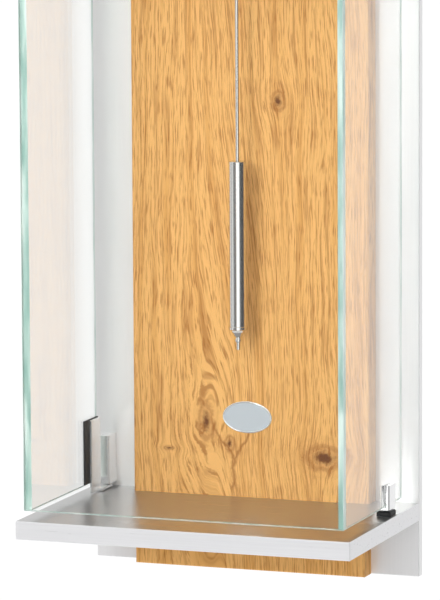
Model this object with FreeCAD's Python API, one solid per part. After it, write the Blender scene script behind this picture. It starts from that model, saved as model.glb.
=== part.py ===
"""Wall-hung pendulum clock in a frameless glass case: a brushed back panel, an oak board, two aluminium
plates, a hinged three-sided glass cover, and an eight-day spring movement with its dial and pendulum.

Frame: millimetres, +X right, +Y towards the wall, +Z up. The origin is the centre of the back panel's
rear face, where it lies on the wall, so the clock fills the space y < 0.
"""
import FreeCAD
import Part
import math
import os

V = FreeCAD.Vector
Y_AXIS = V(0, 1, 0)
Z_AXIS = V(0, 0, 1)

# ---- Case ----
PANEL_W, PANEL_H, PANEL_T = 226.0, 654.0, 7.0
PLATE_D, PLATE_T = 142.0, 12.0          # the aluminium plate above and below the glass
PLATE_MARGIN = 37.0                     # how far the panel and board run on past each plate
OAK_W, OAK_T = 160.0, 14.0
NOTCH_GAP = 0.3                         # round the board where it passes through a plate

PANEL_Y = -PANEL_T                      # the panel's front face
OAK_Y = PANEL_Y - OAK_T                 # the board's front face
PLATE_Z = PANEL_H / 2 - PLATE_MARGIN - PLATE_T      # inner face of either plate, above or below centre
FLOOR_Z = -PLATE_Z                      # what stands on the lower plate starts here

# ---- Glass cover ----
GLASS_T = 4.5
GLASS_W = 216.0                         # over both side panes
GLASS_FRONT = PANEL_Y - PLATE_D + 2.5   # outer face of the front pane
GLASS_BACK = PANEL_Y - 21.0             # rear edge of the side panes
GLASS_GAP = 6.5                         # between a pane's end and the plate
GLASS_Z = PLATE_Z - GLASS_GAP
SIDE_X = GLASS_W / 2 - GLASS_T          # inner face of a side pane
ARRIS = 0.4

# ---- Hinges, at the left rear corner ----
HINGE_W, HINGE_D, HINGE_H = 6.4, 13.4, 33.0
HINGE_X = -98.0 - HINGE_W / 2           # hinge axis
HINGE_Y = PANEL_Y - 8.5
HINGE_CLEAR = 2.8                       # between a block and its plate, where the lug swings
PIN_R, PIN_FIT, PIN_L = 1.5, 0.05, 15.0
LEAF_H, LEAF_D, LEAF_T = 41.5, 16.3, 1.5
PAD_T, PAD_REACH = 1.0, 8.0             # the pad shows this far in front of its leaf
LUG_T, LUG_GAP, EYE_R = 1.6, 0.4, 2.9

# ---- Catch, at the right rear corner ----
CATCH_Y = -55.0                         # middle of the clip along the pane
CLIP_L, CLIP_H, CLIP_WALL = 14.0, 16.0, 2.2
MAGNET_L, MAGNET_H = 12.0, 3.2

# ---- Movement ----
BACK_PLATE_Y = PANEL_Y - 42.0           # rear face of the back plate
MOVE_PLATE_T = 2.0
PILLAR_L = 46.0
FRONT_PLATE_Y = BACK_PLATE_Y - MOVE_PLATE_T - PILLAR_L      # rear face of the front plate
MOVE_FRONT_Y = FRONT_PLATE_Y - MOVE_PLATE_T
MOVE_W, MOVE_LOW, MOVE_HIGH = 92.0, 108.0, 234.0
PILLAR_R = 4.0
PILLARS = [(x, z) for x in (-39.0, 39.0) for z in (MOVE_LOW + 7.0, MOVE_HIGH - 7.0)]
HOLE_FIT = 0.05                         # pivots and pipes run with this much radial clearance

CENTRE = (0.0, 177.0)
INTERMEDIATE = (11.55, 157.0)
BARREL = (-13.7, 139.3)
ANCHOR_Z = 220.0                        # anchor arbor and suspension share this height
ESCAPE_TIP_R = 12.0
ESCAPE = (0.0, ANCHOR_Z - ESCAPE_TIP_R * math.sqrt(2))
MINUTE_POST = (-12.0, CENTRE[1])

# Teeth and module of each meshing pair, driver first
GREAT_PAIR = (78, 10, 0.70)
INTERMEDIATE_PAIR = (66, 11, 0.60)
CENTRE_PAIR = (80, 8, 0.50)
THIRD_PAIR = (84, 8, 0.45)
MINUTE_PAIR = (36, 12, 0.50)
HOUR_PAIR = (40, 10, 0.48)
ESCAPE_TEETH = 30
RATCHET_TEETH = 24

# ---- Dial and hands ----
DIAL_R, DIAL_T = 84.0, 1.5
DIAL_Y = MOVE_FRONT_Y - 14.0            # rear face of the dial
MARKER_L, MARKER_W, MARKER_T = 14.0, 2.6, 1.2
HOUR_HAND_L, MINUTE_HAND_L = 46.0, 70.0
HAND_T = 0.8

# ---- Pendulum ----
PEND_Y = PANEL_Y - 31.0
ROD_R = 1.2
BOB_R, BOB_L = 5.65, 108.0
BOB_Z = -108.0                          # middle of the bob
BOB_WALL = 0.9
BOB_LOW, BOB_HIGH = BOB_Z - BOB_L / 2, BOB_Z + BOB_L / 2
ROD_TIP = BOB_LOW - 15.4


# ---------------------------------------------------------------- helpers
def box(x0, x1, y0, y1, z0, z1):
    return Part.makeBox(x1 - x0, y1 - y0, z1 - z0, V(x0, y0, z0))


def rod_y(r, at, y0, y1):
    """A cylinder along Y at (x, z)."""
    return Part.makeCylinder(r, y1 - y0, V(at[0], y0, at[1]), Y_AXIS)


def rod_z(r, x, y, z0, z1):
    return Part.makeCylinder(r, z1 - z0, V(x, y, z0), Z_AXIS)


def ring_y(outer, inner, at, y0, y1):
    return rod_y(outer, at, y0, y1).cut(rod_y(inner, at, y0 - 1, y1 + 1))


def prism_y(points, y0, y1):
    """A flat outline of (x, z) points, extruded along Y."""
    wire = Part.makePolygon([V(x, y0, z) for x, z in points + points[:1]])
    return Part.Face(wire).extrude(V(0, y1 - y0, 0))


def mirror_z(shape):
    """The same piece at the other end of the case."""
    return shape.mirror(V(0, 0, 0), Z_AXIS)


def both_ends(shape):
    return Part.makeCompound([shape, mirror_z(shape)])


def chamfered(shape, size, keep=lambda edge: True):
    edges = [e for e in shape.Edges if isinstance(e.Curve, Part.Line) and keep(e)]
    return shape.makeChamfer(size, edges)


def polar(at, r, angle):
    return (at[0] + r * math.cos(angle), at[1] + r * math.sin(angle))


def direction(start, end):
    return math.atan2(end[1] - start[1], end[0] - start[0])


def save(name, shape):
    shape.exportStep(f"parts/{name}.step")
    print(f"{name:24s} {len(shape.Solids)} solids {shape.Volume / 1000:9.2f} cm3 valid {shape.isValid()}")


# ---------------------------------------------------------------- gear teeth
WHEEL_TOOTH = ((-1.35, 0.50), (0.0, 0.44), (0.55, 0.33), (1.0, 0.16))
PINION_TOOTH = ((-1.45, 0.30), (0.0, 0.36), (0.45, 0.28), (0.75, 0.14))


def teeth(at, count, module, phase, profile):
    """A toothed outline. The profile gives each point's height in modules from the pitch circle, and the
    share of the pitch that the tooth takes there."""
    pitch_r = count * module / 2
    points = []
    for i in range(count):
        middle = phase + 2 * math.pi * i / count
        half = [(pitch_r + h * module, math.pi * share / count) for h, share in profile]
        points += [polar(at, r, middle - a) for r, a in half]
        points += [polar(at, r, middle + a) for r, a in reversed(half)]
    return points


def wheel(at, pair, mate, y0, y1, bore):
    """A crossed-out wheel with a tooth on the line of centres to its mate."""
    count, _, module = pair
    root_r = count * module / 2 - 1.35 * module
    rim_r, hub_r, arm_w = root_r - 2.2, bore + 3.0, 2.6
    body = prism_y(teeth(at, count, module, direction(at, mate), WHEEL_TOOTH), y0, y1)
    window = ring_y(rim_r, hub_r, at, y0 - 1, y1 + 1)
    for turn in range(4):
        arm = box(at[0], at[0] + rim_r + 1, y0 - 2, y1 + 2, at[1] - arm_w / 2, at[1] + arm_w / 2)
        arm.rotate(V(at[0], 0, at[1]), Y_AXIS, 45 + 90 * turn)
        window = window.cut(arm)
    return body.cut(window).cut(rod_y(bore, at, y0 - 1, y1 + 1))


def pinion(at, pair, driver, y0, y1):
    """Leaves with a gap on the line of centres to the driving wheel."""
    _, count, module = pair
    phase = direction(at, driver) + math.pi / count
    return prism_y(teeth(at, count, module, phase, PINION_TOOTH), y0, y1)


def third_at():
    """The third arbor, from its distances to the centre and escape arbors."""
    to_centre = sum(CENTRE_PAIR[:2]) * CENTRE_PAIR[2] / 2
    to_escape = sum(THIRD_PAIR[:2]) * THIRD_PAIR[2] / 2
    span = ESCAPE[1] - CENTRE[1]
    rise = (to_centre ** 2 - to_escape ** 2 + span ** 2) / (2 * span)
    return (math.sqrt(to_centre ** 2 - rise ** 2), CENTRE[1] + rise)


THIRD = third_at()


# ---------------------------------------------------------------- case
SCREW_R, SCREW_HEAD_R, SCREW_HEAD_T = 2.0, 4.0, 2.4
PLATE_SCREWS = [(x, s * (PLATE_Z + PLATE_T / 2)) for s in (-1, 1) for x in (-100.0, 100.0)]
BOARD_SCREWS = [(x, z) for z in (-240.0, 0.0, 240.0) for x in (-55.0, 55.0)]
BLOCK_SCREWS = [(HINGE_X, s * (PLATE_Z - z)) for s in (-1, 1) for z in (10.0, 30.0)]
HANGER_W, HANGER_H, HANGER_T, HANGER_Z = 116.0, 24.0, 2.0, 300.0
HANGER_SINK = 0.3
WALL_PIN_X, WALL_HOLE_R, PIN_POCKET_R = (-30.0, 30.0), 3.1, 5.0
HANGER_SCREWS = [(x, HANGER_Z) for x in (-50.0, 0.0, 50.0)]
HANGER_SCREW_L = 9.0


def rear_screw(at, length, head_y):
    """A countersunk screw driven from behind, its head at head_y and its point towards the room."""
    head = Part.makeCone(SCREW_HEAD_R, SCREW_R, SCREW_HEAD_T, V(at[0], head_y, at[1]), V(0, -1, 0))
    return head.fuse(rod_y(SCREW_R, at, head_y - length, head_y - SCREW_HEAD_T)).removeSplitter()


def screw_list():
    depth = {"plate": 32.0, "board": 17.0, "block": 12.0, "hanger": HANGER_SCREW_L}
    rear = -0.2
    made = [rear_screw(at, depth["plate"], rear) for at in PLATE_SCREWS]
    made += [rear_screw(at, depth["board"], rear) for at in BOARD_SCREWS]
    made += [rear_screw(at, depth["block"], rear) for at in BLOCK_SCREWS]
    made += [rear_screw(at, depth["hanger"], -HANGER_SINK) for at in HANGER_SCREWS]
    return made


def drilled(shape, screws):
    for screw in screws:
        if shape.BoundBox.intersect(screw.BoundBox):
            shape = shape.cut(screw)
    return shape


def back_panel(screws):
    h = PANEL_H / 2
    panel = chamfered(box(-PANEL_W / 2, PANEL_W / 2, PANEL_Y, 0, -h, h), 0.4)
    depth = HANGER_T + HANGER_SINK
    seat = box(-HANGER_W / 2, HANGER_W / 2, -depth, 1, HANGER_Z - HANGER_H / 2, HANGER_Z + HANGER_H / 2)
    panel = panel.cut(seat)
    for x in WALL_PIN_X:
        panel = panel.cut(rod_y(PIN_POCKET_R, (x, HANGER_Z), -depth - 3.0, 1))
    return drilled(panel, screws)


def oak_board(screws):
    h = PANEL_H / 2
    board = box(-OAK_W / 2, OAK_W / 2, OAK_Y, PANEL_Y, -h, h)
    front = [e for e in board.Edges if all(abs(v.Y - OAK_Y) < 1e-6 for v in e.Vertexes)]
    return drilled(board.makeFillet(1.0, front), screws)


def glass_plate(screws):
    """The lower aluminium plate, notched round the oak board."""
    low = FLOOR_Z - PLATE_T
    plate = box(-PANEL_W / 2, PANEL_W / 2, PANEL_Y - PLATE_D, PANEL_Y, low, FLOOR_Z)
    plate = chamfered(plate, 0.5, lambda e: e.BoundBox.YMin < PANEL_Y - 1)
    half = OAK_W / 2 + NOTCH_GAP
    notch = box(-half, half, OAK_Y - NOTCH_GAP, 1, low - 1, FLOOR_Z + 1)
    return drilled(plate.cut(notch), screws)


def hanger_plate(screws):
    """A steel strip let into the panel, with two round holes that drop over the wall pins."""
    rear = -HANGER_SINK
    strip = box(-HANGER_W / 2, HANGER_W / 2, rear - HANGER_T, rear,
                HANGER_Z - HANGER_H / 2, HANGER_Z + HANGER_H / 2)
    for x in WALL_PIN_X:
        strip = strip.cut(rod_y(WALL_HOLE_R, (x, HANGER_Z), rear - 5, rear + 5))
    return drilled(strip, screws)


def badge():
    """A plain oval plate on the board, with no mark."""
    disc = Part.makeCylinder(1.0, 0.4, V(0, 0, 0), V(0, -1, 0))
    shape = FreeCAD.Matrix()
    shape.scale(V(17.0, 1.0, 10.5))
    oval = disc.transformGeometry(shape)
    oval.translate(V(-0.2, OAK_Y, FLOOR_Z + 53.3))
    return oval


# ---------------------------------------------------------------- glass cover and its hardware
def glass_panes():
    """Front, left and right panes. The front pane covers the side panes' front edges."""
    half, z = GLASS_W / 2, GLASS_Z
    front = chamfered(box(-half, half, GLASS_FRONT, GLASS_FRONT + GLASS_T, -z, z), ARRIS)
    left = box(-half, -SIDE_X, GLASS_FRONT + GLASS_T, GLASS_BACK, -z, z)
    left = chamfered(left, ARRIS, lambda e: e.BoundBox.YMax > GLASS_BACK - 1)
    right = left.mirror(V(0, 0, 0), V(1, 0, 0))
    return front, left, right


def hinge_block():
    """The fixed half at the lower left, bored upwards for the pin."""
    low = FLOOR_Z + HINGE_CLEAR
    block = box(HINGE_X - HINGE_W / 2, HINGE_X + HINGE_W / 2, PANEL_Y - HINGE_D, PANEL_Y,
                low, low + HINGE_H)
    block = chamfered(block, 0.35, lambda e: e.BoundBox.YMin < PANEL_Y - 1)
    return block.cut(rod_z(PIN_R + PIN_FIT, HINGE_X, HINGE_Y, low - 1, low + PIN_L))


def lug_span():
    """Top and bottom of the lug that swings under the lower block."""
    top = FLOOR_Z + HINGE_CLEAR - LUG_GAP
    return top - LUG_T, top


def hinge_leaf():
    """The plate on the pane, with a lug that turns under the block and carries the pin."""
    face = -SIDE_X + PAD_T
    low = FLOOR_Z + GLASS_GAP + 1.5
    back = GLASS_BACK + 0.3
    lug_low, lug_top = lug_span()
    plate = chamfered(box(face, face + LEAF_T, back - LEAF_D, back, lug_low, low + LEAF_H), 0.3)
    arm = box(face, HINGE_X + EYE_R, back - 5, HINGE_Y, lug_low, lug_top)
    eye = rod_z(EYE_R, HINGE_X, HINGE_Y, lug_low, lug_top)
    hole = rod_z(PIN_R, HINGE_X, HINGE_Y, lug_low - 1, lug_top + 1)
    return plate.fuse(arm).fuse(eye).removeSplitter().cut(hole)


def hinge_pad():
    """The black pad between the leaf and the glass."""
    back = GLASS_BACK - 0.3
    low = FLOOR_Z + GLASS_GAP + 1.0
    return box(-SIDE_X, -SIDE_X + PAD_T, back - LEAF_D - PAD_REACH, back, low, low + LEAF_H + 1.0)


def hinge_pin():
    low, top = lug_span()
    return rod_z(PIN_R, HINGE_X, HINGE_Y, low, top + PIN_L)


def catch_clip():
    """A chrome channel pushed up over the right pane's lower edge."""
    fit = 0.15
    low = -GLASS_Z - fit - CLIP_WALL + 0.4
    inner, outer = SIDE_X - fit, GLASS_W / 2 + fit
    y0, y1 = CATCH_Y - CLIP_L / 2, CATCH_Y + CLIP_L / 2
    clip = box(inner - CLIP_WALL, outer + CLIP_WALL, y0, y1, low, low + CLIP_H)
    upright = [e for e in clip.Edges if e.BoundBox.ZLength > CLIP_H - 0.1]
    clip = clip.makeFillet(1.2, upright)
    return clip.cut(box(inner, outer, y0 - 1, y1 + 1, -GLASS_Z - fit, low + CLIP_H + 1))


def catch_magnet():
    """The black magnet block on the lower plate, just under the clip."""
    y0 = CATCH_Y - MAGNET_L / 2 + 1
    block = box(SIDE_X - 2.5, GLASS_W / 2 + 2.5, y0, y0 + MAGNET_L, FLOOR_Z, FLOOR_Z + MAGNET_H)
    return chamfered(block, 0.6, lambda e: e.BoundBox.ZMax > FLOOR_Z + 1)


# ---------------------------------------------------------------- movement frame
BRACKET_T = 3.0
BRACKET_LOW, BRACKET_HIGH = 150.0, 214.0
BRACKET_X = MOVE_W / 2 + 3.0
LIP_IN = 34.0
WEB_SCREWS = [(x, z) for x in (-38.0, 38.0) for z in (BRACKET_LOW + 10, BRACKET_HIGH - 10)]
LIP_SCREWS = [(x, z) for x in (-39.0, 39.0) for z in (BRACKET_LOW + 14, BRACKET_HIGH - 20)]


def bracket_screws():
    made = []
    for at in WEB_SCREWS:
        head = rod_y(3.4, at, OAK_Y - BRACKET_T - 2.0, OAK_Y - BRACKET_T)
        made.append(head.fuse(rod_y(1.9, at, OAK_Y - BRACKET_T, OAK_Y + 11.0)).removeSplitter())
    for at in LIP_SCREWS:
        lip_rear = BACK_PLATE_Y + BRACKET_T
        head = rod_y(3.0, at, lip_rear, lip_rear + 1.8)
        made.append(head.fuse(rod_y(1.5, at, BACK_PLATE_Y - MOVE_PLATE_T, lip_rear)).removeSplitter())
    return made


def movement_bracket(screws):
    """A bent strip: a web on the board, two arms forward, and a lip on each behind the back plate."""
    z0, z1, x, t = BRACKET_LOW, BRACKET_HIGH, BRACKET_X, BRACKET_T
    web = box(-x, x, OAK_Y - t, OAK_Y, z0, z1)
    shape = web
    for side in (-1, 1):
        outer, inner, tip = side * x, side * (x - t), side * LIP_IN
        arm = box(min(outer, inner), max(outer, inner), BACK_PLATE_Y, OAK_Y, z0, z1)
        lip = box(min(outer, tip), max(outer, tip), BACK_PLATE_Y, BACK_PLATE_Y + t, z0, z1)
        shape = shape.fuse(arm).fuse(lip)
    return drilled(shape.removeSplitter(), screws)


def pivot_holes():
    r = HOLE_FIT
    return [(CENTRE, 1.2 + r), (INTERMEDIATE, 1.0 + r), (BARREL, 3.0 + r), (THIRD, 0.8 + r),
            (ESCAPE, 0.8 + r), ((0.0, ANCHOR_Z), 0.8 + r)]


def movement_plate(y0, y1):
    plate = box(-MOVE_W / 2, MOVE_W / 2, y0, y1, MOVE_LOW, MOVE_HIGH)
    plate = plate.makeFillet(5.0, [e for e in plate.Edges if e.BoundBox.YLength > MOVE_PLATE_T - 0.1])
    for at, r in pivot_holes() + [(at, 2.5) for at in PILLARS]:
        plate = plate.cut(rod_y(r, at, y0 - 1, y1 + 1))
    return plate


def pillar(at):
    waist = rod_y(PILLAR_R, at, FRONT_PLATE_Y, BACK_PLATE_Y - MOVE_PLATE_T)
    tails = rod_y(2.5, at, MOVE_FRONT_Y - 3.0, BACK_PLATE_Y + 3.0)
    return waist.fuse(tails).removeSplitter()


def hexagon_nut(at, y0, y1, across, bore):
    corner_r = across / math.sqrt(3)
    outline = [polar(at, corner_r, math.radians(60 * i)) for i in range(6)]
    return prism_y(outline, y0, y1).cut(rod_y(bore, at, y0 - 1, y1 + 1))


def pillar_nuts():
    made = []
    for at in PILLARS:
        made.append(hexagon_nut(at, MOVE_FRONT_Y - 2.6, MOVE_FRONT_Y, 8.0, 2.5))
        made.append(hexagon_nut(at, BACK_PLATE_Y, BACK_PLATE_Y + 2.6, 8.0, 2.5))
    return made


# ---------------------------------------------------------------- going train
PLATE_IN_BACK = BACK_PLATE_Y - MOVE_PLATE_T         # front face of the back plate
GREAT_Y = (PLATE_IN_BACK - 15.0, PLATE_IN_BACK - 12.5)
DRUM_Y = (GREAT_Y[0] - 22.0, GREAT_Y[0])
INTER_Y = (PLATE_IN_BACK - 6.0, PLATE_IN_BACK - 4.0)
CENTRE_Y = (PLATE_IN_BACK - 10.5, PLATE_IN_BACK - 8.7)
THIRD_Y = (PLATE_IN_BACK - 25.5, PLATE_IN_BACK - 24.0)
ESCAPE_Y = (PLATE_IN_BACK - 36.0, PLATE_IN_BACK - 34.6)
WHEEL_CLEAR = 1.5                                   # a pinion runs past its wheel by this much each side
DRUM_R, DRUM_WALL = 24.0, 1.2
ARBOR_PLAY = 0.3


def arbor(at, body_r, pivot_r, pair, driver, mesh_y, ends):
    """A turned arbor with its pinion cut in one piece. It shoulders just inside both plates."""
    inner0, inner1 = FRONT_PLATE_Y + ARBOR_PLAY, PLATE_IN_BACK - ARBOR_PLAY
    body = rod_y(body_r, at, inner0, inner1)
    pivots = rod_y(pivot_r, at, ends[0], ends[1])
    leaves = pinion(at, pair, driver, mesh_y[0] - WHEEL_CLEAR, mesh_y[1] + WHEEL_CLEAR)
    return body.fuse(pivots).fuse(leaves).removeSplitter()


def train():
    plain_ends = (MOVE_FRONT_Y, BACK_PLATE_Y)
    hand_end = MINUTE_HAND_Y - NUT_DEPTH
    parts = {
        "centre_arbor": arbor(CENTRE, 1.5, 1.2, INTERMEDIATE_PAIR, INTERMEDIATE, INTER_Y,
                              (hand_end, BACK_PLATE_Y)),
        "centre_wheel": wheel(CENTRE, CENTRE_PAIR, THIRD, *CENTRE_Y, 1.5),
        "intermediate_arbor": arbor(INTERMEDIATE, 1.4, 1.0, GREAT_PAIR, BARREL, GREAT_Y, plain_ends),
        "intermediate_wheel": wheel(INTERMEDIATE, INTERMEDIATE_PAIR, CENTRE, *INTER_Y, 1.4),
        "third_arbor": arbor(THIRD, 1.1, 0.8, CENTRE_PAIR, CENTRE, CENTRE_Y, plain_ends),
        "third_wheel": wheel(THIRD, THIRD_PAIR, ESCAPE, *THIRD_Y, 1.1),
        "escape_arbor": arbor(ESCAPE, 1.0, 0.8, THIRD_PAIR, THIRD, THIRD_Y, plain_ends),
        "escape_wheel": escape_wheel(),
    }
    return parts


def escape_wheel():
    """Thirty raked, pointed teeth on a light four-armed wheel."""
    root_r = ESCAPE_TIP_R - 2.6
    step = 2 * math.pi / ESCAPE_TEETH
    outline = []
    for i in range(ESCAPE_TEETH):
        a = i * step
        outline += [polar(ESCAPE, root_r, a), polar(ESCAPE, ESCAPE_TIP_R, a + 0.42 * step),
                    polar(ESCAPE, ESCAPE_TIP_R, a + 0.52 * step), polar(ESCAPE, root_r, a + 0.62 * step)]
    body = prism_y(outline, *ESCAPE_Y)
    window = ring_y(root_r - 1.5, 3.0, ESCAPE, ESCAPE_Y[0] - 1, ESCAPE_Y[1] + 1)
    for half_turn in (45, 135):
        arm = box(-root_r, root_r, ESCAPE_Y[0] - 2, ESCAPE_Y[1] + 2, ESCAPE[1] - 0.8, ESCAPE[1] + 0.8)
        arm.rotate(V(ESCAPE[0], 0, ESCAPE[1]), Y_AXIS, half_turn)
        window = window.cut(arm)
    return body.cut(window).cut(rod_y(1.0, ESCAPE, ESCAPE_Y[0] - 1, ESCAPE_Y[1] + 1))


def barrel_drum():
    """The great wheel and the drum behind it, open at the front for the cover."""
    count, _, module = GREAT_PAIR
    toothed = prism_y(teeth(BARREL, count, module, direction(BARREL, INTERMEDIATE), WHEEL_TOOTH), *GREAT_Y)
    drum = ring_y(DRUM_R, DRUM_R - DRUM_WALL, BARREL, DRUM_Y[0], GREAT_Y[0])
    bore = rod_y(4.0 + HOLE_FIT, BARREL, GREAT_Y[0] - 1, GREAT_Y[1] + 1)
    return toothed.fuse(drum).removeSplitter().cut(bore)


def barrel_cover():
    return ring_y(DRUM_R - DRUM_WALL, 4.0 + HOLE_FIT, BARREL, DRUM_Y[0], DRUM_Y[0] + 1.5)


def mainspring():
    """A strip wound in half-turn arcs, each half turn one pitch further out."""
    strip, pitch, half_turns = 0.5, 1.3, 22
    start = DRUM_R - DRUM_WALL - strip - pitch * half_turns / 2      # the outer end meets the drum
    y0, y1 = DRUM_Y[0] + 2.3, GREAT_Y[0] - 0.8

    def spiral(offset):
        arcs = []
        for i in range(half_turns):
            side = 1 if i % 2 == 0 else -1
            r = start + pitch * i / 2 + offset
            cx = BARREL[0] + (0 if side == 1 else pitch / 2)
            arcs.append(Part.Arc(V(cx + side * r, y0, BARREL[1]), V(cx, y0, BARREL[1] + side * r),
                                 V(cx - side * r, y0, BARREL[1])).toShape())
        return arcs

    inner, outer = spiral(0.0), spiral(strip)
    first = Part.makeLine(outer[0].Vertexes[0].Point, inner[0].Vertexes[0].Point)
    last = Part.makeLine(inner[-1].Vertexes[-1].Point, outer[-1].Vertexes[-1].Point)
    wire = Part.Wire(Part.__sortEdges__(inner + outer + [first, last]))
    return Part.Face(wire).extrude(V(0, y1 - y0, 0))


RATCHET_Y = (MOVE_FRONT_Y - 2.3, MOVE_FRONT_Y - 0.5)
RATCHET_R = 8.5
CLICK_AT = (BARREL[0] - 13.0, BARREL[1] + 6.0)


def barrel_arbor():
    """The arbor that the key turns: pivots in both plates, a stepped body, and a winding square."""
    body = rod_y(4.0, BARREL, FRONT_PLATE_Y + ARBOR_PLAY, PLATE_IN_BACK - ARBOR_PLAY)
    pivots = rod_y(3.0, BARREL, RATCHET_Y[0] - 0.6, BACK_PLATE_Y)
    half = 1.7
    square = box(BARREL[0] - half, BARREL[0] + half, DIAL_Y - DIAL_T - 1.0, RATCHET_Y[0],
                 BARREL[1] - half, BARREL[1] + half)
    return body.fuse(pivots).fuse(square).removeSplitter()


def ratchet_wheel():
    step = 2 * math.pi / RATCHET_TEETH
    outline = []
    for i in range(RATCHET_TEETH):
        outline += [polar(BARREL, RATCHET_R - 1.1, i * step), polar(BARREL, RATCHET_R, (i + 0.92) * step)]
    return prism_y(outline, *RATCHET_Y).cut(rod_y(3.0, BARREL, RATCHET_Y[0] - 1, RATCHET_Y[1] + 1))


def click():
    """A pawl on a shouldered screw, its nose just off the ratchet's teeth."""
    reach = direction(CLICK_AT, BARREL) + math.radians(38)
    tip = polar(BARREL, RATCHET_R + 0.35, direction(BARREL, CLICK_AT) - math.radians(32))
    heel = polar(tip, 2.2, direction(BARREL, tip))
    outline = [polar(CLICK_AT, 2.4, reach - 1.6), tip, heel, polar(CLICK_AT, 2.4, reach + 1.6)]
    eye = rod_y(2.6, CLICK_AT, *RATCHET_Y)
    return prism_y(outline, *RATCHET_Y).fuse(eye).removeSplitter().cut(
        rod_y(1.25 + HOLE_FIT, CLICK_AT, RATCHET_Y[0] - 1, RATCHET_Y[1] + 1))


def click_stud():
    """The stud and head that the click turns on."""
    head = rod_y(2.2, CLICK_AT, RATCHET_Y[0] - 1.0, RATCHET_Y[0] - 0.1)
    shank = rod_y(1.25, CLICK_AT, RATCHET_Y[0] - 0.1, MOVE_FRONT_Y)
    return head.fuse(shank).removeSplitter()


# ---------------------------------------------------------------- escapement and suspension
CRUTCH_Y = (BACK_PLATE_Y + 2.5, BACK_PLATE_Y + 3.5)
CRUTCH_L = 58.0
ANCHOR_SPAN = 7.4                       # pallet tips stand this far either side of the arbor


def anchor_arbor():
    at = (0.0, ANCHOR_Z)
    body = rod_y(1.2, at, FRONT_PLATE_Y + ARBOR_PLAY, PLATE_IN_BACK - ARBOR_PLAY)
    return body.fuse(rod_y(0.8, at, MOVE_FRONT_Y, CRUTCH_Y[1] + 0.5)).removeSplitter()


def anchor_pallets():
    """A steel anchor over the escape wheel. Its pallets stay just clear of the teeth through the swing."""
    top, low = ANCHOR_Z + 2.6, ANCHOR_Z - 6.6
    span = ANCHOR_SPAN
    outline = [(-span - 2.2, low), (-span - 0.6, low), (-span + 1.2, ANCHOR_Z - 3.2), (0, ANCHOR_Z - 2.2),
               (span - 1.2, ANCHOR_Z - 3.2), (span + 0.6, low), (span + 2.2, low),
               (span + 1.0, ANCHOR_Z - 0.6), (2.4, top), (-2.4, top), (-span - 1.0, ANCHOR_Z - 0.6)]
    return prism_y(outline, *ESCAPE_Y).cut(rod_y(1.2, (0.0, ANCHOR_Z), ESCAPE_Y[0] - 1, ESCAPE_Y[1] + 1))


def crutch():
    """A flat arm down from the anchor arbor, with a fork round the pendulum rod."""
    low = ANCHOR_Z - CRUTCH_L
    arm = box(-1.5, 1.5, *CRUTCH_Y, low, ANCHOR_Z - 2)
    eye = rod_y(2.8, (0.0, ANCHOR_Z), *CRUTCH_Y)
    cross = box(-3.2, 3.2, *CRUTCH_Y, low, low + 3)
    shape = arm.fuse(eye).fuse(cross)
    gap = ROD_R + 0.15
    for side in (-1, 1):
        x0, x1 = sorted((side * gap, side * (gap + 1.4)))
        shape = shape.fuse(box(x0, x1, CRUTCH_Y[0], PEND_Y + 3.0, low, low + 3))
    return shape.removeSplitter().cut(rod_y(0.8, (0.0, ANCHOR_Z), CRUTCH_Y[0] - 1, CRUTCH_Y[1] + 1))


CHOP_GAP = 0.35


def suspension_cock():
    """The post on the back plate that the pendulum hangs from."""
    z0 = ANCHOR_Z + 5.0
    post = box(-6, 6, BACK_PLATE_Y, PEND_Y + 4, z0, z0 + 6)
    return chamfered(post, 0.5, lambda e: e.BoundBox.YMax > BACK_PLATE_Y + 1)


def suspension_chop():
    """The upper chop, pinned under the cock. The spring leaves its lower edge."""
    return box(-4, 4, PEND_Y - 1.5, PEND_Y + 1.5, ANCHOR_Z + CHOP_GAP, ANCHOR_Z + 5.0)


def suspension_spring():
    strips = []
    for side in (-1, 1):
        x0, x1 = sorted((side * 0.8, side * 3.2))
        strips.append(box(x0, x1, PEND_Y - 0.12, PEND_Y + 0.12, ANCHOR_Z - 9.0, ANCHOR_Z))
    return Part.makeCompound(strips)


def lower_chop():
    z1 = ANCHOR_Z - 9.0
    block = chamfered(box(-4, 4, PEND_Y - 1.6, PEND_Y + 1.6, z1 - 7, z1), 0.4)
    return block.cut(rod_z(ROD_R, 0, PEND_Y, z1 - 8, z1 - 3))


def pendulum_rod():
    return rod_z(ROD_R, 0, PEND_Y, ROD_TIP, ANCHOR_Z - 12.0)


# ---------------------------------------------------------------- bob and rating nut
CAP_T, CORE_GAP = 1.6, 0.12
WASHER_T, NUT_GAP = 2.4, 0.1
THREAD_R = ROD_R + 0.08                 # bores on the rod


def bob_tube():
    """The polished tube, closed at the top round the rod."""
    outer = rod_z(BOB_R, 0, PEND_Y, BOB_LOW, BOB_HIGH)
    rims = [e for e in outer.Edges if isinstance(e.Curve, Part.Circle)]
    outer = outer.makeChamfer(0.3, [e for e in rims if e.BoundBox.ZMin > BOB_HIGH - 0.01])
    hollow = rod_z(BOB_R - BOB_WALL, 0, PEND_Y, BOB_LOW - 1, BOB_HIGH - CAP_T)
    return outer.cut(hollow).cut(rod_z(THREAD_R, 0, PEND_Y, BOB_HIGH - 3, BOB_HIGH + 1))


def bob_core():
    """The weight inside the tube."""
    core = rod_z(BOB_R - BOB_WALL, 0, PEND_Y, BOB_LOW, BOB_HIGH - CAP_T)
    return core.cut(rod_z(THREAD_R + CORE_GAP, 0, PEND_Y, BOB_LOW - 1, BOB_HIGH))


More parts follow.
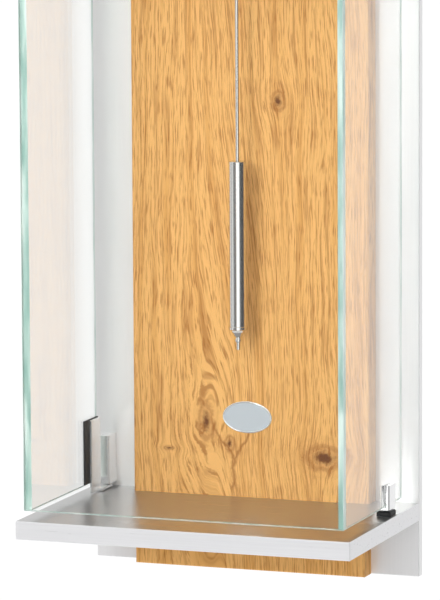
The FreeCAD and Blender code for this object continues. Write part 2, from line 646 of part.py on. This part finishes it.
def turned(profile, bore, z0, z1):
    """A turned piece on the pendulum's axis, from (radius, z) points down its side."""
    points = [V(0, PEND_Y, profile[0][1])]
    points += [V(r, PEND_Y, z) for r, z in profile]
    points.append(V(0, PEND_Y, profile[-1][1]))
    face = Part.Face(Part.makePolygon(points + points[:1]))
    solid = face.revolve(V(0, PEND_Y, 0), Z_AXIS, 360)
    return solid.cut(rod_z(bore, 0, PEND_Y, z0 - 1, z1 + 1))


def bob_washer():
    z = BOB_LOW
    rim = BOB_R + 0.35
    end = z - WASHER_T
    return turned([(rim - 0.3, z), (rim, z - 0.3), (rim, end + 0.5), (rim - 0.5, end)], THREAD_R, end, z)


def rating_nut():
    """A turned, tapering nut with a small round end."""
    z = BOB_LOW - WASHER_T - NUT_GAP
    profile = [(4.6, z), (4.3, z - 1.2), (2.6, z - 4.0), (1.7, z - 4.6), (1.7, z - 5.2), (2.1, z - 6.0),
               (2.1, z - 7.2), (1.7, z - 8.0)]
    return turned(profile, THREAD_R, z - 9, z)


# ---------------------------------------------------------------- motion work, dial and hands
MOTION_Y = (MOVE_FRONT_Y - 5.4, MOVE_FRONT_Y - 3.8)       # minute wheel with the cannon pinion
HOUR_Y = (MOVE_FRONT_Y - 8.6, MOVE_FRONT_Y - 7.2)         # hour wheel with the minute pinion
CANNON_R, PIPE_R = 1.9, 3.0
HOUR_HAND_Y = DIAL_Y - DIAL_T - 4.6                       # front face of the hour hand
MINUTE_HAND_Y = HOUR_HAND_Y - 2.6
POST_R = 1.3
NUT_DEPTH = 1.6                                           # how far the centre arbor enters the hand nut


def cannon_pinion():
    """The pinion and pipe that turn the minute hand, tight on the centre arbor."""
    pipe = rod_y(CANNON_R, CENTRE, MINUTE_HAND_Y, MOVE_FRONT_Y - 1.0)
    leaves = pinion(CENTRE, MINUTE_PAIR, MINUTE_POST, MOTION_Y[0] - 0.6, MOTION_Y[1] + 1.2)
    shape = pipe.fuse(leaves).removeSplitter()
    return shape.cut(rod_y(1.2, CENTRE, MINUTE_HAND_Y - 1, MOVE_FRONT_Y))


def minute_wheel():
    """The wheel and pinion that turn on the post between the minute and hour hands."""
    body = wheel(MINUTE_POST, MINUTE_PAIR, CENTRE, *MOTION_Y, POST_R + HOLE_FIT)
    leaves = pinion(MINUTE_POST, HOUR_PAIR, CENTRE, HOUR_Y[0] - 0.6, MOTION_Y[0])
    bore = rod_y(POST_R + HOLE_FIT, MINUTE_POST, HOUR_Y[0] - 2, MOTION_Y[1] + 1)
    return body.fuse(leaves).removeSplitter().cut(bore)


def minute_wheel_post():
    post = rod_y(POST_R, MINUTE_POST, HOUR_Y[0] - 1.6, MOVE_FRONT_Y)
    collar = rod_y(2.4, MINUTE_POST, MOTION_Y[1] + 0.3, MOVE_FRONT_Y)
    return post.fuse(collar).removeSplitter()


def hour_wheel():
    body = wheel(CENTRE, HOUR_PAIR, MINUTE_POST, *HOUR_Y, CANNON_R + HOLE_FIT)
    pipe = ring_y(PIPE_R, CANNON_R + HOLE_FIT, CENTRE, HOUR_HAND_Y, HOUR_Y[1])
    return body.fuse(pipe).removeSplitter()


def hand(length, tail, width, tip_width, boss_r, bore, y):
    """A straight tapering hand that points up from the centre."""
    x, z = CENTRE
    outline = [(x - width / 2, z - tail), (x + width / 2, z - tail), (x + tip_width / 2, z + length),
               (x - tip_width / 2, z + length)]
    blade = prism_y(outline, y, y + HAND_T)
    boss = rod_y(boss_r, CENTRE, y, y + HAND_T)
    return blade.fuse(boss).removeSplitter().cut(rod_y(bore, CENTRE, y - 1, y + 2))


def turned_to(shape, hours):
    """A hand turned clockwise from twelve, as seen from the front."""
    shape.rotate(V(CENTRE[0], 0, CENTRE[1]), Y_AXIS, 30.0 * hours)
    return shape


def hand_nut():
    y1 = MINUTE_HAND_Y
    nut = rod_y(3.2, CENTRE, y1 - 2.2, y1)
    nut = nut.makeFillet(0.8, [e for e in nut.Edges if e.BoundBox.YMax < y1 - 2.1])
    return nut.cut(rod_y(1.2, CENTRE, y1 - NUT_DEPTH, y1 + 1))


DIAL_FEET = [polar(CENTRE, 37.0, math.radians(a)) for a in (50, 130, 288)]


def dial_plate():
    dial = rod_y(DIAL_R, CENTRE, DIAL_Y - DIAL_T, DIAL_Y)
    front_rim = [e for e in dial.Edges if e.BoundBox.YMax < DIAL_Y - DIAL_T + 0.01]
    dial = dial.makeChamfer(0.4, front_rim)
    return dial.cut(rod_y(PIPE_R + 0.5, CENTRE, DIAL_Y - 5, DIAL_Y + 5)).cut(
        rod_y(5.0, BARREL, DIAL_Y - 5, DIAL_Y + 5))


def dial_foot(at):
    return rod_y(2.2, at, DIAL_Y, MOVE_FRONT_Y)


def hour_markers():
    made = []
    y1 = DIAL_Y - DIAL_T
    for hour in range(12):
        quarter = hour % 3 == 0
        width = MARKER_W * (1.7 if quarter else 1.0)
        length = MARKER_L + (3.0 if quarter else 0.0)
        outer = CENTRE[1] + DIAL_R - 6.0
        bar = box(-width / 2, width / 2, y1 - MARKER_T, y1, outer - length, outer)
        bar = chamfered(bar, 0.25, lambda e: e.BoundBox.YMax < y1 - MARKER_T + 0.01)
        made.append(turned_to(bar, hour))
    return Part.makeCompound(made)


def winding_eyelet():
    """The turned ring in the dial that guides the key to the winding square."""
    y1 = DIAL_Y - DIAL_T
    sleeve = ring_y(5.0, 4.2, BARREL, y1, DIAL_Y)
    flange = ring_y(6.2, 4.2, BARREL, y1 - 0.6, y1)
    return sleeve.fuse(flange).removeSplitter()


# ---------------------------------------------------------------- assembly
def build():
    rear = screw_list()
    for name, shape in {
        "back_panel": back_panel(rear),
        "oak_board": oak_board(rear + bracket_screws()),
        "bottom_plate": glass_plate(rear),
        "top_plate": mirror_z(glass_plate([mirror_z(s) for s in rear])),
        "hanger_plate": hanger_plate(rear),
        "rear_screws": Part.makeCompound(rear),
        "makers_badge": badge(),
    }.items():
        save(name, shape)

    front, left, right = glass_panes()
    block = drilled(hinge_block(), rear)
    for name, shape in {
        "glass_front": front,
        "glass_left": left,
        "glass_right": right,
        "hinge_blocks": both_ends(block),
        "hinge_leaves": both_ends(hinge_leaf()),
        "hinge_pads": both_ends(hinge_pad()),
        "hinge_pins": both_ends(hinge_pin()),
        "catch_clip": catch_clip(),
        "catch_magnet": catch_magnet(),
    }.items():
        save(name, shape)

    screws = bracket_screws()
    back = drilled(movement_plate(PLATE_IN_BACK, BACK_PLATE_Y), screws)
    for name, shape in {
        "movement_bracket": movement_bracket(screws),
        "bracket_screws": Part.makeCompound(screws),
        "movement_back_plate": back,
        "movement_front_plate": movement_plate(MOVE_FRONT_Y, FRONT_PLATE_Y),
        "plate_pillars": Part.makeCompound([pillar(at) for at in PILLARS]),
        "pillar_nuts": Part.makeCompound(pillar_nuts()),
        **train(),
        "barrel_drum": barrel_drum(),
        "barrel_cover": barrel_cover(),
        "mainspring": mainspring(),
        "barrel_arbor": barrel_arbor(),
        "ratchet_wheel": ratchet_wheel(),
        "click": click(),
        "click_stud": click_stud(),
        "anchor_arbor": anchor_arbor(),
        "anchor_pallets": anchor_pallets(),
        "crutch": crutch(),
    }.items():
        save(name, shape)

    for name, shape in {
        "suspension_cock": suspension_cock(),
        "suspension_chop": suspension_chop(),
        "suspension_spring": suspension_spring(),
        "lower_chop": lower_chop(),
        "pendulum_rod": pendulum_rod(),
        "bob_tube": bob_tube(),
        "bob_core": bob_core(),
        "bob_washer": bob_washer(),
        "rating_nut": rating_nut(),
        "cannon_pinion": cannon_pinion(),
        "minute_wheel": minute_wheel(),
        "minute_wheel_post": minute_wheel_post(),
        "hour_wheel": hour_wheel(),
        "hour_hand": turned_to(hand(HOUR_HAND_L, 12.0, 5.0, 3.4, 5.0, PIPE_R, HOUR_HAND_Y), 10.156),
        "minute_hand": turned_to(hand(MINUTE_HAND_L, 16.0, 4.2, 2.2, 4.4, CANNON_R, MINUTE_HAND_Y), 1.875),
        "hand_nut": hand_nut(),
        "dial_plate": dial_plate(),
        "dial_feet": Part.makeCompound([dial_foot(at) for at in DIAL_FEET]),
        "hour_markers": hour_markers(),
        "winding_eyelet": winding_eyelet(),
    }.items():
        save(name, shape)


os.makedirs("parts", exist_ok=True)
build()
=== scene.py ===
import math

import bpy
from mathutils import Matrix, Vector


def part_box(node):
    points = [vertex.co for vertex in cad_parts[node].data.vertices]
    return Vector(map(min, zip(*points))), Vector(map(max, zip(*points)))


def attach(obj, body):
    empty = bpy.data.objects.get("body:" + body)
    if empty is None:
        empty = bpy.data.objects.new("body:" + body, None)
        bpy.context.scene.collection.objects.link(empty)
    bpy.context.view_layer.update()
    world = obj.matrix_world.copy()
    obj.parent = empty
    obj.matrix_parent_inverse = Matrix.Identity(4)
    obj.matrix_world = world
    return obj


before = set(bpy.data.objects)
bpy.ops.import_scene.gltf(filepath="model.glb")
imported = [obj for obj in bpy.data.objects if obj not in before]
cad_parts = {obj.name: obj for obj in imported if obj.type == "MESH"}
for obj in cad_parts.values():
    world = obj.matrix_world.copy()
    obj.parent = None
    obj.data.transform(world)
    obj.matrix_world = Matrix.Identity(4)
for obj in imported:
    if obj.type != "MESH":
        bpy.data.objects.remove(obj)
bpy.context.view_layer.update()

# Lengths are in metres. START is the middle of the lower plate's top where it meets the back panel.
START = Vector((0.0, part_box("back_panel")[0][1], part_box("bottom_plate")[1][2]))

# ---- camera ----
LENS, SENSOR = 275.7, 36.0
AZIMUTH, PITCH, ROLL = math.radians(20.128), math.radians(8.0), -0.0055
DISTANCE = 3.026
LOOK_AT = Vector((-0.0245, 0.0, 0.1278))

# ---- studio ----
KEY_POWER, KEY_WIDTH, KEY_HEIGHT = 15.0, 0.35, 0.6
KEY_AT, KEY_AIM = Vector((-0.45, -2.6, 0.9)), Vector((0.0, 0.0, 0.15))
FLOOR_SIZE, FLOOR_DROP = 7.0, 0.9
FLOOR_COLOUR = (0.97, 0.97, 0.97)
# Brightness round the room: (degrees from the front, towards the right; light)
ROOM = ((-180, 1.0), (-100, 1.0), (-76, 0.6), (-52, 1.1), (-34, 0.22), (-8, 0.18), (2, 1.3),
        (12, 1.9), (30, 1.8), (42, 0.6), (54, 0.06), (98, 0.05), (118, 0.5), (140, 1.0))
ROOM_POWER, ROOM_CEILING, ROOM_SEEN = 2.0, 0.5, 0.52

# ---- metal and glass ----
# Noise squeezed along an axis is drawn out into fine lines that run that way
EVEN, ALONG_X, ALONG_Z = (1.0, 1.0, 1.0), (0.02, 1.0, 1.0), (1.0, 1.0, 0.02)
GRAIN_SHADE, CLOUD_SCALE = 0.93, 9.0
# Plate colours are painted light: the sides are painted paler, and the top and underside darker as a painted
# reflection of the oak
PLATE_SIDE_PAINTED_LIGHT, PLATE_FACE_PAINTED_REFLECTION = (0.88, 0.88, 0.895), (0.50, 0.495, 0.495)
FACE_ON = 0.9
PANE, SHADOW_TINT = (0.992, 1.0, 0.996), (0.95, 0.97, 0.96, 1.0)
EDGE_DEEP, EDGE_PALE = (0.50, 0.68, 0.63), (0.90, 0.97, 0.94)
EDGE_HAZE, EDGE_BODY = 0.28, 0.8

# ---- badge rim ----
RIM_WIDTH, RIM_LIFT, RIM_BEVEL, RIM_STEPS = 0.0011, 0.00035, 0.0003, 96

# ---- oak ----
OAK_LIGHT, OAK_MID, OAK_DARK = (0.87, 0.480, 0.160), (0.71, 0.345, 0.088), (0.35, 0.112, 0.012)
KNOT_EDGE, KNOT_HEART = (0.34, 0.115, 0.020), (0.15, 0.048, 0.012)
# Each knot: right of and above START, size, and how tall it is for its width
KNOTS = ((-0.029, 0.049, 0.0048, 2.4), (-0.0125, 0.035, 0.0032, 1.6), (0.0530, 0.029, 0.0125, 0.60),
         (-0.055, 0.030, 0.0035, 0.35), (0.022, 0.262, 0.0045, 1.4), (-0.038, 0.402, 0.0055, 1.2))
KNOT_TEAR, KNOT_GROWTH, KNOT_BEND, KNOT_FADE, KNOT_RINGS = 1.1, 0.45, 0.75, 0.55, 7.0
FLAME_X, FLAME_WIDTH, FLAME_LEAN = -0.012, 0.020, 0.11
FORK_X, FORK_Z, FORK_SPREAD, FORK_TEAR = -0.010, 0.0245, 0.62, 0.010
FORK_LINE, FORK_ARMS, FORK_FOOT = (0.0003, 0.0019), (0.016, 0.034), (-0.004, 0.006)
DRIFT_SQUEEZE, DRIFT = (14.0, 14.0, 3.2), 0.030
GRAIN_SLANT, GRAIN_STRETCH = 0.7, 0.030
BANDS, LINES, PORES = 60.0, 520.0, 1250.0
OAK_RELIEF = 5e-5


# ---------------------------------------------------------------- node helpers
class Nodes:
    """A node tree that is filled by short calls."""

    def __init__(self, tree):
        self.tree = tree

    def new(self, kind):
        return self.tree.nodes.new("ShaderNode" + kind)

    def put(self, socket, value):
        if isinstance(value, bpy.types.NodeSocket):
            self.tree.links.new(value, socket)
        else:
            socket.default_value = value

    def add(self, kind, **inputs):
        node = self.new(kind)
        for name, value in inputs.items():
            self.put(node.inputs[name.replace("_", " ")], value)
        return node

    def calc(self, operation, a, b=0.0):
        node = self.new("Math")
        node.operation = operation
        self.put(node.inputs[0], a)
        self.put(node.inputs[1], b)
        return node.outputs[0]

    def plus(self, a, b):
        return self.calc("ADD", a, b)

    def minus(self, a, b):
        return self.calc("SUBTRACT", a, b)

    def times(self, a, b):
        return self.calc("MULTIPLY", a, b)

    def split(self, source):
        """The three numbers of one of the surface's own coordinates."""
        coords = self.new("TexCoord")
        return self.add("SeparateXYZ", Vector=coords.outputs[source]).outputs

    def place(self, squeeze=EVEN):
        """The surface's own position in metres, squeezed along some axes."""
        coords = self.new("TexCoord")
        return self.add("Mapping", Vector=coords.outputs["Object"], Scale=squeeze).outputs[0]

    def noise(self, vector, scale, detail=4.0, rough=0.55):
        return self.add("TexNoise", Vector=vector, Scale=scale, Detail=detail, Roughness=rough).outputs[0]

    def ramp(self, value, stops):
        node = self.add("ValToRGB", Fac=value)
        points = node.color_ramp.elements
        while len(points) < len(stops):
            points.new(0.5)
        for point, (at, colour) in zip(points, stops):
            point.position = at
            point.color = (*colour, 1.0)
        return node.outputs[0]

    def mix(self, factor, a, b):
        node = self.new("Mix")
        node.data_type = "RGBA"
        self.put(node.inputs[0], factor)
        self.put(node.inputs[6], a if isinstance(a, bpy.types.NodeSocket) else (*a, 1.0))
        self.put(node.inputs[7], b if isinstance(b, bpy.types.NodeSocket) else (*b, 1.0))
        return node.outputs[2]

    def remap(self, value, low, high, to_low=0.0, to_high=1.0):
        """Low to high becomes to_low to to_high, held level outside."""
        node = self.new("MapRange")
        for socket, number in zip(node.inputs, (value, low, high, to_low, to_high)):
            self.put(socket, number)
        return node.outputs[0]


class Look(Nodes):
    """A new material."""

    def __init__(self, name):
        self.mat = bpy.data.materials.new(name)
        self.mat.use_nodes = True
        super().__init__(self.mat.node_tree)
        self.shader = self.tree.nodes["Principled BSDF"]

    def set(self, **inputs):
        for name, value in inputs.items():
            self.put(self.shader.inputs[name.replace("_", " ")], value)

    def bump(self, height, distance):
        node = self.add("Bump", Height=height, Distance=distance, Strength=1.0)
        self.set(Normal=node.outputs[0])


# ---------------------------------------------------------------- metal and plastic
def metal(name, colour, roughness, grain=EVEN, grain_scale=400.0, depth=2e-6, variation=0.06, body=1.0):
    """Metal with fine lines that run along the squeezed axis. A body below 1 looks anodised."""
    look = Look(name)
    lines = look.noise(look.place(grain), grain_scale, 3.0)
    cloud = look.noise(look.place(), CLOUD_SCALE, 2.0)
    dark = tuple(c * GRAIN_SHADE for c in colour)
    look.set(Base_Color=look.mix(lines, dark, colour), Metallic=body)
    wear = look.plus(look.times(lines, variation), look.times(cloud, variation / 2))
    look.set(Roughness=look.plus(wear, roughness - variation * 0.75))
    look.bump(lines, depth)
    return look.mat


def plate():
    """Brushed plate: the top and underside are bare satin metal, painted darker as a painted reflection of
    the oak; the sides are painted paler, as painted light.
    """
    look = Look("plate_brushed_painted_light")
    lines = look.noise(look.place(ALONG_X), 800.0, 3.0)
    up = look.split("Normal")[2]
    flat = look.calc("GREATER_THAN", look.calc("ABSOLUTE", up), FACE_ON)
    # Painted light: the sides get the paler colour and the flat faces the darker one, by which way each face
    # looks
    painted_light_tone = look.mix(flat, PLATE_SIDE_PAINTED_LIGHT, PLATE_FACE_PAINTED_REFLECTION)
    look.set(Base_Color=look.mix(lines, look.mix(0.12, painted_light_tone, (0.0, 0.0, 0.0)), painted_light_tone))
    look.set(Metallic=look.remap(flat, 0.0, 1.0, 0.35, 1.0))
    look.set(Roughness=look.remap(lines, 0.3, 0.7, 0.27, 0.35))
    look.bump(lines, 4e-6)
    return look.mat


def plastic(name, colour, roughness):
    look = Look(name)
    speckle = look.noise(look.place(), 900.0)
    light = tuple(c * 1.35 + 0.004 for c in colour)
    look.set(Base_Color=look.mix(speckle, colour, light), Specular_IOR_Level=0.2)
    look.set(Roughness=look.remap(speckle, 0.3, 0.7, roughness - 0.05, roughness + 0.05))
    look.bump(speckle, 4e-6)
    return look.mat


# ---------------------------------------------------------------- oak
def knot(look, across, height, x, z, size, tall):
    """Distance from a knot's heart in knot sizes, with a torn outline, and the offset across the grain."""
    dx = look.calc("DIVIDE", look.minus(across, START.x + x), size)
    dz = look.calc("DIVIDE", look.minus(height, START.z + z), size * tall)
    torn = look.times(look.noise(look.place(), 260.0, 4.0, 0.7), KNOT_TEAR)
    span = look.calc("SQRT", look.plus(look.times(dx, dx), look.times(dz, dz)))
    return look.plus(look.minus(span, KNOT_GROWTH), torn), dx


def bend_round_knots(look, across, height, line):
    """The grain's line pushed aside by every knot, with the strength of the rings and of the hearts."""
    halo, heart = 0.0, 0.0
    for x, z, size, tall in KNOTS:
        span, dx = knot(look, across, height, x, z, size, tall)
        pull = look.calc("EXPONENT", look.times(span, -KNOT_FADE))
        line = look.plus(line, look.times(look.times(pull, dx), size * -KNOT_BEND))
        rings = look.remap(look.calc("SINE", look.times(span, KNOT_RINGS)), -0.6, 0.8, 0.35, 1.0)
        near = look.times(look.remap(span, 0.7, 2.1, 1.0, 0.0), rings)
        core = look.remap(span, 0.25, 0.85, 1.0, 0.0)
        halo = look.calc("MAXIMUM", halo, near)
        heart = look.calc("MAXIMUM", heart, core)
    return line, halo, heart


def flame(look, across, height):
    """The pointed arches of a plain-sawn board: lines lean to one side of the middle as they rise."""
    side = look.calc("DIVIDE", look.minus(across, FLAME_X), FLAME_WIDTH)
    fall = look.calc("EXPONENT", look.times(look.times(side, side), -0.5))
    return look.times(look.times(fall, height), FLAME_LEAN)


def fork(look, across, height):
    """A dark Y in the grain, whose two arms rise from the stem towards the badge."""
    branch = START.z + FORK_Z
    torn = look.times(look.minus(look.noise(look.place(), 90.0, 3.0), 0.5), FORK_TEAR)
    side = look.calc("ABSOLUTE", look.plus(look.minus(across, START.x + FORK_X), torn))
    rise = look.calc("MAXIMUM", look.minus(height, branch), 0.0)
    away = look.calc("ABSOLUTE", look.minus(side, look.times(rise, FORK_SPREAD)))
    arms = look.remap(height, branch + FORK_ARMS[0], branch + FORK_ARMS[1], 1.0, 0.0)
    foot = look.remap(height, START.z + FORK_FOOT[0], START.z + FORK_FOOT[1])
    line = look.remap(away, *FORK_LINE, 1.0, 0.0)
    return look.times(line, look.times(arms, foot))


def oak():
    """Oiled oak: vertical lines and pores that bend round the knots."""
    look = Look("oak_oiled")
    across, depth, height = look.split("Object")
    drift = look.times(look.noise(look.place(DRIFT_SQUEEZE), 1.0, 3.0), DRIFT)
    line = look.plus(look.plus(across, look.times(depth, GRAIN_SLANT)), drift)
    line = look.plus(line, flame(look, across, height))
    line, halo, heart = bend_round_knots(look, across, height, line)
    grain = look.add("CombineXYZ", X=line, Z=look.times(height, GRAIN_STRETCH)).outputs[0]
    bands = look.noise(grain, BANDS, 3.0, 0.6)
    lines = look.noise(grain, LINES, 3.0, 0.65)
    short = look.add("Mapping", Vector=grain, Scale=(1.0, 1.0, 1.7)).outputs[0]
    pores = look.remap(look.noise(short, PORES, 2.0, 0.6), 0.52, 0.64, 0.0, 0.66)
    colour = look.ramp(bands, ((0.34, OAK_MID), (0.47, OAK_LIGHT), (0.56, OAK_LIGHT), (0.72, OAK_MID)))
    colour = look.mix(look.remap(lines, 0.49, 0.66, 0.0, 0.58), colour, OAK_DARK)
    colour = look.mix(pores, colour, OAK_DARK)
    colour = look.mix(look.times(halo, 0.75), colour, KNOT_EDGE)
    colour = look.mix(look.times(heart, 0.95), colour, KNOT_HEART)
    colour = look.mix(look.times(fork(look, across, height), 0.7), colour, KNOT_EDGE)
    look.set(Base_Color=colour, Specular_IOR_Level=0.16)
    look.set(Roughness=look.remap(lines, 0.3, 0.7, 0.46, 0.60))
    look.bump(look.minus(look.times(lines, -0.4), pores), OAK_RELIEF)
    return look.mat


# ---------------------------------------------------------------- glass
def glass(name, face_axis):
    """Clear glass that lets lamps through. Faces that don't look along face_axis are the pale green edges."""
    look = Look(name)
    streaks = look.noise(look.place((1.0, 1.0, 0.15)), 160.0, 2.0)
    facing = look.calc("ABSOLUTE", look.split("Normal")[face_axis])
    edge = look.calc("LESS_THAN", facing, FACE_ON)
    look.set(Transmission_Weight=look.minus(1.0, look.times(edge, EDGE_BODY)), IOR=1.5)
    look.set(Roughness=look.times(edge, EDGE_HAZE))
    green = look.mix(look.remap(streaks, 0.35, 0.65), EDGE_DEEP, EDGE_PALE)
    look.set(Base_Color=look.mix(edge, PANE, green))
    clear = look.add("BsdfTransparent", Color=SHADOW_TINT)
    blend = look.new("MixShader")
    look.put(blend.inputs[0], look.new("LightPath").outputs["Is Shadow Ray"])
    look.put(blend.inputs[1], look.shader.outputs[0])
    look.put(blend.inputs[2], clear.outputs[0])
    look.put(look.tree.nodes["Material Output"].inputs["Surface"], blend.outputs[0])
    return look.mat


# ---------------------------------------------------------------- which look each piece has
def assign(material, *nodes):
    for node in nodes:
        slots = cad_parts[node].data.materials
        slots.clear()
        slots.append(material)


def dress_case():
    assign(oak(), "oak_board")
    assign(metal("panel_brushed", (0.90, 0.90, 0.905), 0.30, ALONG_Z, 700.0, body=0.35), "back_panel")
    assign(plate(), "bottom_plate", "top_plate")
    assign(glass("glass_front_clear", 1), "glass_front")
    assign(glass("glass_side_clear", 0), "glass_left", "glass_right")
    assign(metal("chrome_plate", (0.90, 0.90, 0.90), 0.24, variation=0.03, depth=3e-7, body=0.8),
           "hinge_blocks", "hinge_leaves")
    assign(metal("chrome_bright", (0.84, 0.84, 0.845), 0.08, variation=0.02, depth=3e-7),
           "catch_clip", "winding_eyelet")
    assign(plastic("black_rubber_pad", (0.012, 0.012, 0.013), 0.5), "hinge_pads", "catch_magnet")
    assign(metal("badge_satin", (0.62, 0.665, 0.71), 0.36, ALONG_X, 900.0, body=0.5), "makers_badge")


def dress_clock():
    assign(metal("bob_polished", (0.80, 0.79, 0.78), 0.11, ALONG_Z, 500.0, 1e-7, 0.02),
           "pendulum_rod", "bob_tube", "bob_washer", "rating_nut")
    assign(metal("dial_blasted", (0.90, 0.90, 0.90), 0.44, grain_scale=1500.0, depth=5e-6), "dial_plate")
    assign(plastic("black_lacquer", (0.010, 0.010, 0.011), 0.28),
           "hour_markers", "hour_hand", "minute_hand", "hand_nut")
    assign(metal("blued_spring", (0.10, 0.12, 0.20), 0.30, ALONG_Z), "mainspring", "suspension_spring")
    assign(metal("brass_satin", (0.80, 0.60, 0.26), 0.28, ALONG_Z, 600.0),
           "movement_back_plate", "movement_front_plate", "plate_pillars", "centre_wheel",
           "intermediate_wheel", "third_wheel", "escape_wheel", "barrel_drum", "barrel_cover", "crutch",
           "suspension_cock", "cannon_pinion", "minute_wheel", "hour_wheel", "dial_feet")
    assign(metal("steel_turned", (0.58, 0.585, 0.60), 0.27, grain_scale=700.0),
           "hanger_plate", "rear_screws", "hinge_pins", "bracket_screws", "pillar_nuts", "movement_bracket",
           "centre_arbor", "intermediate_arbor", "third_arbor", "escape_arbor", "barrel_arbor",
           "ratchet_wheel", "click", "click_stud", "anchor_arbor", "anchor_pallets", "suspension_chop",
           "lower_chop", "minute_wheel_post", "bob_core")


# ---------------------------------------------------------------- added piece
def badge_rim():
    """A raised bright rim round the blank oval badge."""
    low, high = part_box("makers_badge")
    cx, cz = (low[0] + high[0]) / 2, (low[2] + high[2]) / 2
    a, b = (high[0] - low[0]) / 2, (high[2] - low[2]) / 2
    section = ((0.0, 0.0), (RIM_BEVEL, RIM_LIFT), (RIM_WIDTH - RIM_BEVEL, RIM_LIFT), (RIM_WIDTH, 0.0))
    rows = len(section)
    verts, faces = [], []
    for i in range(RIM_STEPS):
        turn = 2 * math.pi * i / RIM_STEPS
        for inset, rise in section:
            x, z = cx + (a - inset) * math.cos(turn), cz + (b - inset) * math.sin(turn)
            verts.append((x, low[1] - rise, z))
        here, there = i * rows, (i + 1) % RIM_STEPS * rows
        for j in range(rows - 1):
            faces.append((here + j, here + j + 1, there + j + 1, there + j))
    data = bpy.data.meshes.new("badge_rim")
    data.from_pydata(verts, [], faces)
    data.materials.append(metal("badge_bright", (0.90, 0.91, 0.92), 0.16))
    for face in data.polygons:
        face.use_smooth = True
    rim = bpy.data.objects.new("badge_rim", data)
    bpy.context.scene.collection.objects.link(rim)
    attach(rim, "case")


# ---------------------------------------------------------------- floor, lights and camera
def floor():
    """A plain pale floor, far below the clock as it hangs on its wall."""
    look = Look("floor_pale")
    cloud = look.noise(look.place(), 3.0)
    shade = tuple(c * 0.99 for c in FLOOR_COLOUR)
    look.set(Base_Color=look.mix(cloud, FLOOR_COLOUR, shade), Roughness=0.9)
    bpy.ops.mesh.primitive_plane_add(size=1.0, location=(0.0, 0.0, START.z - FLOOR_DROP))
    board = bpy.context.object
    board.name = "floor"
    board.scale = (FLOOR_SIZE, FLOOR_SIZE, 1.0)
    board.data.materials.append(look.mat)


def room():
    """A white room with grey and dark flats, which light the clock. The camera sees it plain."""
    world = bpy.data.worlds.new("studio")
    bpy.context.scene.world = world
    world.use_nodes = True
    nodes = Nodes(world.node_tree)
    x, y, z = nodes.split("Generated")
    angle = nodes.calc("ARCTAN2", x, nodes.times(y, -1.0))
    turn = nodes.plus(nodes.calc("DIVIDE", angle, 2 * math.pi), 0.5)
    flats = nodes.ramp(turn, [((a + 180) / 360, (v / 2,) * 3) for a, v in ROOM])
    steep = nodes.remap(nodes.calc("ABSOLUTE", z), 0.5, 0.75)
    flats = nodes.mix(steep, flats, (ROOM_CEILING,) * 3)
    seen = nodes.new("LightPath").outputs["Is Camera Ray"]
    background = nodes.tree.nodes["Background"]
    nodes.put(background.inputs["Color"], nodes.mix(seen, flats, (ROOM_SEEN,) * 3))
    nodes.put(background.inputs["Strength"], ROOM_POWER)


def key_light():
    lamp = bpy.data.lights.new("key", "AREA")
    lamp.shape = "RECTANGLE"
    lamp.size, lamp.size_y, lamp.energy = KEY_WIDTH, KEY_HEIGHT, KEY_POWER
    key = bpy.data.objects.new("key", lamp)
    bpy.context.scene.collection.objects.link(key)
    key.location = START + KEY_AT
    key.rotation_euler = (KEY_AIM - KEY_AT).to_track_quat("-Z", "Y").to_euler()


def camera():
    level = math.cos(PITCH)
    back = Vector((math.sin(AZIMUTH) * level, -math.cos(AZIMUTH) * level, math.sin(PITCH)))
    right = Vector((math.cos(AZIMUTH), math.sin(AZIMUTH), 0.0))
    up = back.cross(right)
    side = right * math.cos(ROLL) + up * math.sin(ROLL)
    top = up * math.cos(ROLL) - right * math.sin(ROLL)
    lens = bpy.data.cameras.new("camera")
    lens.lens, lens.sensor_width = LENS, SENSOR
    eye = bpy.data.objects.new("camera", lens)
    bpy.context.scene.collection.objects.link(eye)
    pose = Matrix((side, top, back)).transposed().to_4x4()
    pose.translation = START + LOOK_AT + back * DISTANCE
    eye.matrix_world = pose
    bpy.context.scene.camera = eye


dress_case()
dress_clock()
badge_rim()
floor()
room()
key_light()
camera()
# Standard shows a white surface as white
bpy.context.scene.view_settings.view_transform = "Standard"
